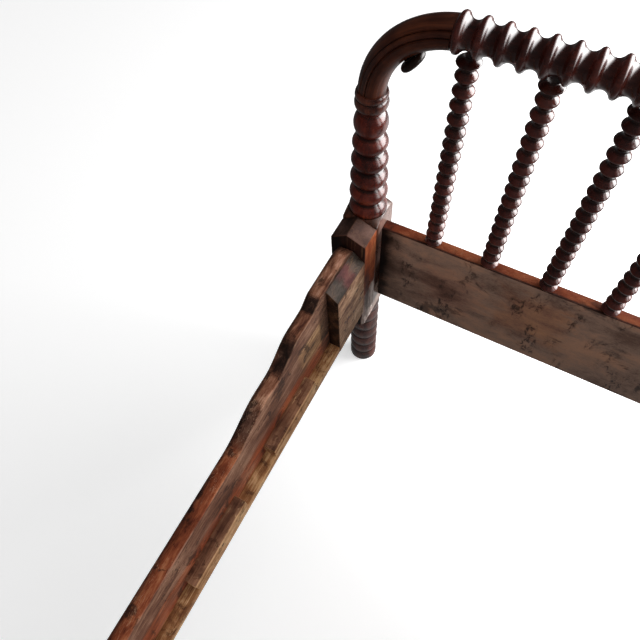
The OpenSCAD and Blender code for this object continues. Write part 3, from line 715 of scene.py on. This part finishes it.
def makePost(corner):
    s = postSizes
    half, bottom, top = bed["halfBlock"], bed["blockBottom"], bed["blockTop"]
    leg, foot, rings = s["legRadius"], s["footHeight"], s["legRings"]
    neck = leg - s["legGroove"]
    points = [(leg - inwards, z, 0.0) for inwards, z in s["footEdge"]] + [(leg, foot / 5, 0.0)]
    points += [p for p in beadPoints(0, foot, neck, leg) if p[1] > foot / 3]
    # each ring of the leg is a little taller than the one below
    growth = 2 * (bottom - foot - rings * s["legRingHeight"]) / (rings * (rings - 1))
    groove = [foot + i * s["legRingHeight"] + growth * i * (i - 1) / 2 for i in range(rings + 1)]
    for low, high in zip(groove, groove[1:]):
        points += beadPoints(low, high - low, neck, leg)
    points.append((neck, bottom, 1.0))
    coneTop = half - s["coneInset"]
    cornerReach = half * math.sqrt(2) + s["cornerSpare"]
    turns = sorted(math.radians(quarter + t) for quarter in (0, 90, 180, 270)
                   for t in (*range(0, 90, s["sideStep"]), *s["arrisTurns"]) if t != 44)
    reach = [squareReach(t, half, s["blockRounding"]) for t in turns]
    arch = [top + s["shoulder"] * min(1, (cornerReach - r) / (cornerReach - coneTop)) for r in reach]
    rows = [[(r, z, h)] * len(turns) for r, z, h in points]
    # the square block from its rounded lower edge up, and the cone of its shoulder
    edge, last = s["blockEdge"], s["blockRows"]
    rows.append([(r - edge, bottom, 0.3) for r in reach])
    rows.append([(r - edge * 0.3, bottom + edge * 0.3, 0.0) for r in reach])
    for i in range(last + 1):
        rows.append([(r, bottom + edge + (a - s["blockGap"] - bottom - edge) * i / last, 0.0)
                     for r, a in zip(reach, arch)])
    last = s["coneRows"]
    for i in range(last + 1):
        rows.append([(r + (coneTop - r) * i / last - (s["firstCut"] if i == 0 else 0),
                      a + (top + s["shoulder"] - a) * i / last, 0.0) for r, a in zip(reach, arch)])
    # the beads, the ball, the cove and two rings of the collar
    beads, tall = [], s["beadHeight"]
    for i in range(s["beads"]):
        crest = s["lowestBead"] - (s["lowestBead"] - s["ballRadius"]) * (i / s["beads"]) ** s["taper"]
        beads += waveBead(top + i * tall, tall, crest - s["beadGroove"], crest, s["sharpness"])
    beads = [b for b in beads if b[1] > top + s["shoulder"] - s["beadCut"]]
    ball = top + s["beads"] * tall
    neck = s["ballRadius"] - s["beadGroove"]
    beads += beadPoints(ball, s["ballHeight"], neck, s["ballRadius"], 24)
    collar = ball + s["ballHeight"]
    ringNeck = s["topRingRadius"] - s["topNeck"]
    for i in range(s["coveRows"]):
        turn = math.pi / 2 * i / s["coveRows"]
        beads.append((neck + (ringNeck - neck) * (1 - math.cos(turn)), collar + s["cove"] * math.sin(turn), 0.8))
    ring = collar + s["cove"]
    beads += beadPoints(ring, s["ringHeight"], ringNeck, s["ringRadius"], 14)
    beads += beadPoints(ring + s["ringHeight"], s["topRingHeight"], ringNeck, s["topRingRadius"], 12)
    beads.append((ringNeck, bed["postTop"], 0.6))
    rows += [[b] * len(turns) for b in beads]
    middle = fromCorner((0, 0, 0), corner)
    placed, hollow, worn = [], [], []
    for row in rows:
        line = []
        for turn, (radius, z, _) in zip(turns, row):
            spot = middle + Vector((math.cos(turn) * radius, math.sin(turn) * radius, z))
            dip = 0.5 + 0.5 * noise.noise(spot * s["longWaves"])
            dip += s["shortShare"] * noise.noise(spot * s["shortWaves"])
            radius -= s["unevenness"] * max(s["leastDip"], dip)
            line.append(middle + Vector((math.cos(turn) * radius, math.sin(turn) * radius, z)))
        placed.append(line)
        hollow.append([float(h) for _, _, h in row])
        worn.append([max(0.0, 1 - 4 * float(h)) * 0.6 for _, _, h in row])
    return meshFromRows("post", placed, {"hollow": hollow, "worn": worn})


for name, corner in corners.items():
    finishPiece(newPiece("turnedPost_" + name, makePost(corner)), postWood, ["post_" + name])
print("posts made")


# bent corners and their buttons

bendSizes = dict(
    radius=0.120, reach=0.101, sink=0.006, half=0.02025, groove=0.0022, step=0.0006,
    grooves=(56, 82), arris=130, grooveHalf=5.5, grooveShape=0.8, fineReach=8, fineStep=1.1,
    coarseStep=4.0, steps=72, unevenness=0.00016, waves=30,
)


def bendSection(s):
    # distance from the middle line at each angle from the outward side, with the depth of the grooves
    section = []
    angle = -180.0
    while angle < 179.9:
        side = abs(angle)
        radius, depth = s["half"], 0.0
        for groove in s["grooves"]:
            off = abs(side - groove) / s["grooveHalf"]
            if off < 1:
                depth = (1 - off) ** s["grooveShape"]
                radius = s["half"] - s["groove"] * depth
        if side > s["arris"]:
            radius = s["half"] - s["step"]
            depth = max(0.0, 0.8 - (side - s["arris"]) / 3)
        section.append((math.radians(angle), radius, depth))
        near = min(abs(side - g) for g in (*s["grooves"], s["arris"]))
        angle += s["fineStep"] if near < s["fineReach"] else s["coarseStep"]
    return section


def makeBend(corner):
    s = bendSizes
    centreHeight = bed["postTop"] - s["sink"]
    section = bendSection(s)

    def onBend(arm, across, turn):
        spot = (s["radius"] - arm * math.cos(turn), across, centreHeight + arm * math.sin(turn))
        return fromCorner(spot, corner)

    rows, hollow, course = [], [], []
    for i in range(s["steps"] + 1):
        row, depths, places = [], [], []
        for angle, radius, depth in section:
            out, across = radius * math.cos(angle), radius * math.sin(angle)
            arm = s["radius"] + out
            start = math.asin(s["sink"] / arm)
            end = math.acos((s["radius"] - s["reach"]) / arm)
            turn = start + (end - start) * i / s["steps"]
            place = onBend(arm, across, turn)
            dip = s["unevenness"] * (0.5 + 0.5 * noise.noise(place * s["waves"]))
            arm -= dip * math.cos(angle)
            across -= dip * math.sin(angle)
            if 0 < i < s["steps"]:
                place = onBend(arm, across, turn)
            row.append(place)
            depths.append(float(depth))
            places.append((out + corner[0], across + corner[1], s["radius"] * turn))
        rows.append(row)
        hollow.append(depths)
        course.append(places)
    return meshFromRows("bend", rows, {"hollow": hollow, "course": course})


buttonSizes = dict(
    angle=45, radius=0.01775, thickness=0.010, neck=0.008, gap=0.0015,
    seatGap=0.0001, seatSunk=0.0004, neckFlare=0.0015, backRise=0.0003, dome=0.0006,
    domeRings=(0.55, 0.35, 0.12), sides=56
)


def makeButton(corner):
    s, b = buttonSizes, bendSizes
    inner = b["half"] - b["step"]
    seat = inner + s["neck"] ** 2 / (2 * (b["radius"] - inner)) + s["seatGap"]
    back = seat + s["gap"]
    rim = s["thickness"] / 2
    profile = [(s["neck"], seat - s["seatSunk"], 0.9), (s["neck"], back - s["seatSunk"], 0.9),
               (s["neck"] + s["neckFlare"], back + s["backRise"], 0.8)]
    for i in range(17):
        turn = math.radians(-80 + 10 * i)
        profile.append((s["radius"] - rim + rim * math.cos(turn), back + rim + rim * math.sin(turn), 0.0))
    profile += [(s["radius"] * f, back + s["thickness"] + s["dome"] * (1 - f), 0.0) for f in s["domeRings"]]
    angle = math.radians(s["angle"])
    outward = Vector((math.cos(angle), 0, -math.sin(angle)))  # from the bend's middle line to its centre
    sideways = Vector((math.sin(angle), 0, math.cos(angle)))
    across = Vector((0, 1, 0))
    centre = Vector((b["radius"], 0, bed["postTop"] - b["sink"]))
    rows, hollow = [], []
    for radius, height, depth in profile:
        row = []
        for i in range(s["sides"]):
            turn = 2 * math.pi * i / s["sides"]
            spot = centre - outward * (b["radius"] - height)
            spot += (sideways * math.cos(turn) + across * math.sin(turn)) * radius
            row.append(fromCorner(spot, corner))
        rows.append(row)
        hollow.append([float(depth)] * s["sides"])
    return meshFromRows("button", rows, {"hollow": hollow})


for name, corner in corners.items():
    finishPiece(newPiece("bentCorner_" + name, makeBend(corner)), bentWood, ["bend_" + name])
    finishPiece(newPiece("turnedButton_" + name, makeButton(corner)), buttonWood, ["button_" + name])
print("bent corners and buttons made")


# spool rails and spindles, turned by Geometry Nodes

socketKinds = {int: "Int", float: "Float", bpy.types.Material: "Material", bpy.types.Object: "Object"}


def startTree(name, values):
    # a tree with one input for each value, and those inputs by name
    tree = bpy.data.node_groups.new(name, "GeometryNodeTree")
    tree.interface.new_socket(name="Geometry", in_out="OUTPUT", socket_type="NodeSocketGeometry")
    for label, value in values.items():
        kind = "NodeSocket" + socketKinds[type(value)]
        tree.interface.new_socket(name=label, in_out="INPUT", socket_type=kind)
    given = tree.nodes.new("NodeGroupInput").outputs
    return tree, {label: Number(tree, given[label]) for label in values}


def closeTree(tree, geometry, material):
    real = firstOf(tree, "GeometryNodeRealizeInstances", {"Geometry": geometry})
    dressed = firstOf(tree, "GeometryNodeSetMaterial", {"Geometry": real, "Material": material})
    tree.links.new(dressed, tree.nodes.new("NodeGroupOutput").inputs[0])
    return tree


def growPiece(name, tree, values):
    piece = newPiece(name, bpy.data.meshes.new(name))
    modifier = piece.modifiers.new("form", "NODES")
    modifier.node_group = tree
    for socket in tree.interface.items_tree:
        if socket.in_out == "INPUT":
            modifier[socket.identifier] = values[socket.name]
    mesh = evaluated(piece)
    mesh.name = name
    mergeAndTurnOut(mesh)
    smoothMesh(mesh)
    return piece


def choose(tree, share, plain, other):
    values = {"Switch": share, "False": plain, "True": other}
    return numberOf(tree, "GeometryNodeSwitch", values, input_type="FLOAT")


def mark(tree, geometry, name, value):
    values = {"Geometry": geometry, "Name": name, "Value": value}
    return firstOf(tree, "GeometryNodeStoreNamedAttribute", values, data_type="FLOAT", domain="POINT")


def marked(tree, name):
    return numberOf(tree, "GeometryNodeInputNamedAttribute", {"Name": name}, data_type="FLOAT")


def centreLine(tree, start, end, count):
    line = firstOf(tree, "GeometryNodeCurvePrimitiveLine", {"Start": start, "End": end})
    return firstOf(tree, "GeometryNodeResampleCurve", {"Curve": line, "Count": count})


def turnedBody(tree, line, radius, sides):
    ring = firstOf(tree, "GeometryNodeCurvePrimitiveCircle", {"Resolution": sides, "Radius": 1.0})
    values = {"Curve": line, "Profile Curve": ring, "Scale": radius, "Fill Caps": True}
    return firstOf(tree, "GeometryNodeCurveToMesh", values)


def randomShare(tree, low, high, seed):
    values = {2: low, 3: high, "Seed": seed}
    return addNode(tree, "FunctionNodeRandomValue", values, data_type="FLOAT").outputs[1]


def arcHeight(radius, off):
    return (radius ** 2.0 - off ** 2.0).by("MAXIMUM", 0.0).by("SQRT")


spoolSizes = {
    "Length": 1.028, "Ridges": 40.5, "Ridge radius": 0.0240, "Valley radius": 0.01665, "Crest rounding": 0.005,
    "Steps a ridge": 20, "Sides": 48, "Material": acrossWood,
}


def spoolTree():
    tree, given = startTree("turnedSpoolRail", spoolSizes)
    ridge, valley, crestArc = given["Ridge radius"], given["Valley radius"], given["Crest rounding"]
    half = given["Length"] / 2.0
    count = given["Ridges"] * given["Steps a ridge"] + 1.0
    line = centreLine(tree, vectorOf(tree, half * -1.0), vectorOf(tree, half), count)
    x = partsOf(tree, firstOf(tree, "GeometryNodeInputPosition"))[0]
    pitch = given["Length"] / given["Ridges"]
    halfPitch = pitch / 2.0
    toCrest = (((x + half) / pitch + 0.25).by("FRACT") - 0.5).by("ABSOLUTE") * pitch
    # an arc over the crest and one in the valley, which meet on one slope
    rise = ridge - valley
    radii = (halfPitch ** 2.0 + rise ** 2.0) / (rise * 2.0)
    valleyArc = radii - crestArc
    onCrest = ridge - crestArc + arcHeight(crestArc, toCrest)
    inValley = valley + valleyArc - arcHeight(valleyArc, halfPitch - toCrest)
    isCrest = toCrest.by("LESS_THAN", halfPitch * crestArc / radii)
    radius = choose(tree, isCrest, inValley, onCrest)
    line = mark(tree, line, "hollow", (ridge - radius) / rise)
    return closeTree(tree, turnedBody(tree, line, radius, given["Sides"]), given["Material"])


spindleSizes = {
    "Spindles": 11, "Spacing": 0.0984, "Beads": 15, "Height": 0.0, "Foot bead": 0.0153, "Top bead": 0.0160,
    "Radius": 0.01475, "Neck radius": 0.0075, "Top radius": 0.0160, "Sharpness": 2.4, "Top shade": 0.85,
    "Steps a bead": 14, "Sides": 32, "Seed": 7, "Material": spindleWood,
}


def spindleTree():
    tree, given = startTree("beadedSpindles", spindleSizes)
    beads, steps, neck = given["Beads"], given["Steps a bead"], given["Neck radius"]
    line = centreLine(tree, (0, 0, 0), (0, 0, 1), (beads + 2.0) * steps + 1.0)
    along = numberOf(tree, "GeometryNodeInputIndex") / steps
    bead = along.by("FLOOR").by("MINIMUM", beads + 1.0)
    share = along - bead
    isTop, isFoot = bead.by("GREATER_THAN", beads + 0.5), bead.by("LESS_THAN", 0.5)
    step = (given["Height"] - given["Foot bead"] - given["Top bead"]) / beads
    height = choose(tree, isTop, choose(tree, isFoot, step, given["Foot bead"]), given["Top bead"])
    crest = choose(tree, isTop, given["Radius"], given["Top radius"])
    base = choose(tree, isFoot, given["Foot bead"] + (bead - 1.0) * step, 0.0)
    swell = (share * math.pi).by("SINE") ** given["Sharpness"]
    # painted shade on the top bead, under the rail
    line = mark(tree, line, "hollow", (1.0 - swell).by("MAXIMUM", isTop * given["Top shade"]))
    line = mark(tree, line, "thick", neck + (crest - neck) * swell)
    spot = vectorOf(tree, z=base + height * share)
    line = firstOf(tree, "GeometryNodeSetPosition", {"Geometry": line, "Position": spot})
    body = turnedBody(tree, line, marked(tree, "thick"), given["Sides"])
    first = given["Spacing"] * (given["Spindles"] - 1.0) * -0.5
    row = firstOf(tree, "GeometryNodeMeshLine", {
        "Count": given["Spindles"], "Start Location": vectorOf(tree, first),
        "Offset": vectorOf(tree, given["Spacing"])})
    turn = vectorOf(tree, z=randomShare(tree, 0.0, 2 * math.pi, given["Seed"]))
    copies = firstOf(tree, "GeometryNodeInstanceOnPoints", {"Points": row, "Instance": body, "Rotation": turn})
    return closeTree(tree, copies, given["Material"])


railTree, rowTree = spoolTree(), spindleTree()
for end, sign in ends.items():
    rail = growPiece("spoolRail_" + end, railTree, spoolSizes)
    rail.data.transform(Matrix.Translation((0, sign * bed["halfLength"], bed["spoolHeight"])))
    finishPiece(rail, acrossWood, ["spool_rail_" + end])
    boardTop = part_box("board_" + end)[1].z
    rise = bed["spoolHeight"] - spoolSizes["Ridge radius"] - bed["spindleGap"] - boardTop
    row = growPiece("spindles_" + end, rowTree, dict(spindleSizes, Height=rise))
    row.data.transform(Matrix.Translation((0, sign * bed["halfLength"], boardTop)))
    finishPiece(row, spindleWood, [f"spindle_{end}_{i}" for i in range(1, 12)])
print("spool rails and spindles made")


# boards, joint blocks, side rails, pads and ledgers

boardSizes = dict(
    thickness=0.0212, rounding=0.0014, unevenness=0.0005, topUnevenness=0.0003,
    waves=9, step=0.02, raised=0.0004
)
jointSizes = dict(
    depth=0.0435, gable=0.0155, lean=0.0045, ridge=-0.003, rounding=0.0013,
    holeRadius=0.00415, holeDepth=0.012, pinHeight=0.40525, splinter=(0.0052, 0.0064, 0.150)
)
railSizes = dict(
    inset=0.010, thickness=0.025, height=0.136, drops=(0.014, 0.027, 0.026),
    curves=(0.034, 0.075, 0.100), lands=(0.082, 0.038, 0.031), endLength=0.029,
    endDrop=0.014, rounding=0.0024, unevenness=0.0006, lowerUnevenness=0.0004,
    waves=14, lowerWaves=10, step=0.012, curveStep=0.004, lowerStep=0.025
)
padSizes = dict(length=0.098, height=0.167, bevel=44, climb=5.4, rounding=0.0013)
ledgerSizes = dict(
    height=0.047, notch=0.028, raised=0.143, slats=7, set=0.00075,
    rounding=0.0012, unevenness=0.0005, waves=30, step=0.008, lowerStep=0.03
)


jointFace = -bed["halfBlock"] - jointSizes["depth"]  # where the side rail meets the joint block


def uneven(points, amount, scale, seed):
    # small waves in the height of an outline
    return [(a, b - amount * (0.5 + 0.5 * noise.noise(Vector((a * scale, seed, b * 5))))) for a, b in points]


def dense(start, end, step):
    # points from start to end, without the last
    count = max(1, round(math.dist(start, end) / step))
    return [(start[0] + (end[0] - start[0]) * i / count, start[1] + (end[1] - start[1]) * i / count)
            for i in range(count)]


def denseEdge(start, end, step):
    return dense(start, end, step) + [end]


for end, sign in ends.items():
    low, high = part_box("board_" + end)
    reach = bed["halfWidth"] - bed["halfBlock"]
    s, foot = boardSizes, low.z + boardSizes["raised"]
    lower = denseEdge((-reach, foot), (reach, foot), s["step"])
    upper = denseEdge((reach, high.z), (-reach, high.z), s["step"])
    outline = uneven(lower, -s["unevenness"], s["waves"], sign)
    outline += uneven(upper, s["topUnevenness"], s["waves"], sign + 5)
    half = s["thickness"] / 2
    board = slab("board_plank_" + end, outline, (-half, half),
                 lambda a, b, d: Vector((a, sign * bed["halfLength"] + d, b)))
    roundEdges(board, s["rounding"])
    finishPiece(board, boardWood, ["board_" + end])


def clipSliver(piece, corner):
    # the long splinter split off the block's inner arris
    half, foot, edgeY = bed["halfBlock"], bed["blockBottom"], jointFace
    wide, deep, tall = jointSizes["splinter"]
    bottom = fromCorner((half - wide, edgeY, foot - 0.001), corner)
    bottomBack = fromCorner((half, edgeY + deep, foot - 0.001), corner)
    top = fromCorner((half, edgeY, foot + tall), corner)
    normal = (bottomBack - bottom).cross(top - bottom).normalized()
    outside = fromCorner((half + 0.01, edgeY - 0.01, foot), corner)
    if normal.dot(outside - bottom) < 0:
        normal = -normal
    with opened(piece.data) as work:
        geometry = work.verts[:] + work.edges[:] + work.faces[:]
        cut = bmesh.ops.bisect_plane(work, geom=geometry, plane_co=bottom, plane_no=normal, clear_outer=True)
        bmesh.ops.holes_fill(work, edges=[g for g in cut["geom_cut"] if isinstance(g, bmesh.types.BMEdge)])
        bmesh.ops.recalc_face_normals(work, faces=work.faces)


def drillHole(piece, centre, radius, depth):
    mesh = meshOf("drill", [])
    with opened(mesh) as work:
        bmesh.ops.create_cone(work, cap_ends=True, segments=32, radius1=radius, radius2=radius, depth=2 * depth)
    mesh.transform(Matrix.Translation(centre) @ Matrix.Rotation(math.pi / 2, 4, "Y"))
    drill = newPiece("drill", mesh)
    modifier = piece.modifiers.new("hole", "BOOLEAN")
    modifier.operation = "DIFFERENCE"
    modifier.solver = "EXACT"
    modifier.object = drill
    evaluated(piece)
    bpy.data.objects.remove(drill)


def makeJointBlock(name, corner):
    j, half = jointSizes, bed["halfBlock"]
    top = bed["blockTop"]
    outline = [(-half, bed["blockBottom"]), (half, bed["blockBottom"]), (half, top),
               (j["ridge"], top + j["gable"]), (-half, top - j["lean"])]
    block = slab("jointBlock_" + name, outline, (-half - j["depth"], -half),
                 lambda a, b, d: fromCorner((a, d, b), corner))
    clipSliver(block, corner)
    pinPlace = fromCorner((half, -half - j["depth"] / 2, j["pinHeight"]), corner)
    drillHole(block, pinPlace, j["holeRadius"], j["holeDepth"])
    roundEdges(block, j["rounding"])
    return block


for name, corner in corners.items():
    finishPiece(makeJointBlock(name, corner), jointWood, ["joint_block_" + name])


def railTop(s):
    # top edge of one end of the rail: distance from the joint block, height above the lower edge
    total = s["height"] + sum(s["drops"])
    points = [(s["endLength"] * i / 10, total - s["endDrop"] * (1 - math.sin(math.pi / 2 * i / 10)))
              for i in range(11)]
    place, level = s["endLength"], total
    for land, length, drop in zip(s["lands"], s["curves"], s["drops"]):
        points += dense((place, level), (place + land, level), s["step"])[1:]
        place += land
        count = max(12, round(length / s["curveStep"]))
        points += [(place + length * i / count, level - drop * (1 - math.cos(math.pi * i / count)) / 2)
                   for i in range(count + 1)]
        place += length
        level -= drop
    return points


def makeSideRail(side, sign):
    s = railSizes
    jointY, foot = bed["halfLength"] + jointFace, bed["railBottom"]
    edge = railTop(s)
    top = [(-jointY + a, b) for a, b in edge]
    top += dense(top[-1], (-top[-1][0], top[-1][1]), s["step"])[1:]
    top += [(jointY - a, b) for a, b in reversed(edge)]
    top = [(a, foot + b) for a, b in top]
    inner = uneven(top[1:-1], s["unevenness"], s["waves"], sign * 3)
    bottom = denseEdge((jointY, foot), (-jointY, foot), s["lowerStep"])
    bottom = uneven(bottom, -s["lowerUnevenness"], s["lowerWaves"], sign * 5)
    outline = [top[0]] + inner + [top[-1]] + bottom
    face = bed["halfWidth"] - s["inset"]
    rail = slab("sideRail_" + side, outline, (face, face + s["thickness"]),
                lambda a, b, d: Vector((sign * d, a, b)))
    roundEdges(rail, s["rounding"], 4)
    return rail


for side, sign in sides.items():
    finishPiece(makeSideRail(side, sign), railWood, ["side_rail_" + side])


def makePad(name, corner):
    s, half = padSizes, bed["halfBlock"]
    back = railSizes["inset"]
    slope = math.tan(math.radians(s["bevel"])) / math.cos(math.radians(s["climb"]))
    climb = math.tan(math.radians(s["climb"]))
    points = []
    for y in (jointFace, jointFace - s["length"]):
        for x, top in ((half, False), (back, False), (back, True), (half, True)):
            z = bed["railBottom"]
            if top:
                z += s["height"] + slope * (half - x) + climb * (jointFace - y)
            points.append(fromCorner((x, y, z), corner))
    faces = [(0, 1, 2, 3), (7, 6, 5, 4), (0, 4, 5, 1), (1, 5, 6, 2), (2, 6, 7, 3), (3, 7, 4, 0)]
    mesh = meshOf("pad", points, faces)
    mergeAndTurnOut(mesh)
    pad = newPiece("endPad_" + name, mesh)
    roundEdges(pad, s["rounding"])
    return pad


for name, corner in corners.items():
    finishPiece(makePad(name, corner), padWood, ["end_pad_" + name])


def raisedPlaces():
    s = ledgerSizes
    length = 2 * (bed["halfLength"] + jointFace - padSizes["length"])
    step = (length + s["raised"]) / s["slats"]
    return length, [(i - s["slats"] / 2) * step for i in range(1, s["slats"])]


def makeLedger(side, sign):
    s = ledgerSizes
    length, places = raisedPlaces()
    foot, low, high = (bed["railBottom"] + h for h in (0, s["height"] - s["notch"], s["height"]))
    steps = [(-length / 2, low)]
    for y in places:
        start, end = y - s["raised"] / 2, y + s["raised"] / 2
        steps += [(start, low), (start, high), (end, high), (end, low)]
    steps.append((length / 2, low))
    upper = []
    for a, b in zip(steps, steps[1:]):
        upper += dense(a, b, s["step"]) if a[1] == b[1] else [a]
    upper = uneven(upper + [steps[-1]], s["unevenness"], s["waves"], sign * 7)
    lower = denseEdge((length / 2, foot), (-length / 2, foot), s["lowerStep"])
    face = bed["halfWidth"] - railSizes["inset"]
    thickness = bed["halfBlock"] - railSizes["inset"] - s["set"]
    ledger = slab("slatLedger_" + side, upper + lower, (face - thickness, face),
                  lambda a, b, d: Vector((sign * d, a, b)))
    roundEdges(ledger, s["rounding"])
    return ledger


for side, sign in sides.items():
    finishPiece(makeLedger(side, sign), ledgerWood, ["ledger_" + side])
print("boards, blocks, rails, pads and ledgers made")


# nails, set by Geometry Nodes

nailSizes = {"Head radius": 0.0034, "Head height": 0.0008, "Sunk": 0.0002, "Segments": 14, "Rings": 8,
             "Smallest": 0.88, "Largest": 1.04, "Seed": 3, "Material": rustyIron}
padNailPlaces = ((0.16, 0.44), (0.42, 0.40), (0.66, 0.47), (0.77, 0.48))  # shares of the pad's length and height


def nailTree(values):
    tree, given = startTree("nailHeads", values)
    points = addNode(tree, "GeometryNodeObjectInfo", {"Object": given["Places"]}).outputs["Geometry"]
    ball = firstOf(tree, "GeometryNodeMeshUVSphere", {
        "Segments": given["Segments"], "Rings": given["Rings"], "Radius": 1.0})
    flat = vectorOf(tree, given["Head radius"], given["Head radius"], given["Head height"])
    head = firstOf(tree, "GeometryNodeTransform", {
        "Geometry": ball, "Translation": vectorOf(tree, z=given["Sunk"] * -1.0), "Scale": flat})
    turn = vectorOf(tree, y=marked(tree, "facing") * (math.pi / 2))
    size = randomShare(tree, given["Smallest"], given["Largest"], given["Seed"])
    copies = firstOf(tree, "GeometryNodeInstanceOnPoints", {
        "Points": points, "Instance": head, "Rotation": turn, "Scale": size})
    return closeTree(tree, copies, given["Material"])


def setNails(name, places, node):
    # places holds the middle of each nail, and 1 or -1 for the side it faces
    mesh = meshOf(name + "Places", [p for p, _ in places])
    mesh.attributes.new("facing", "FLOAT", "POINT").data.foreach_set("value", [float(f) for _, f in places])
    values = dict(nailSizes, Places=newPiece(name + "Places", mesh))
    piece = growPiece(name, nailTree(values), values)
    bpy.data.objects.remove(values["Places"])
    finishPiece(piece, rustyIron, [node])


padNails = []
for corner in corners.values():
    for along, up in padNailPlaces:
        y, z = jointFace - along * padSizes["length"], bed["railBottom"] + up * padSizes["height"]
        padNails.append((fromCorner((bed["halfBlock"], y, z), corner), -corner[0]))
setNails("padNails", padNails, "pad_nails")
ledgerNails = []
for sign in sides.values():
    face = bed["halfWidth"] - bed["halfBlock"] + ledgerSizes["set"]
    height = bed["railBottom"] + ledgerSizes["height"] - ledgerSizes["notch"] / 2
    ledgerNails += [(Vector((sign * face, y, height)), -sign) for y in raisedPlaces()[1]]
setNails("ledgerNails", ledgerNails, "ledger_nails")

for node in ("hook_plates", "hook_rivets", "hook_pins", "block_screws"):
    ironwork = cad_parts[node]
    ironwork.data.materials.clear()
    ironwork.data.materials.append(rustyIron)
print("nails and ironwork made")

low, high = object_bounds()
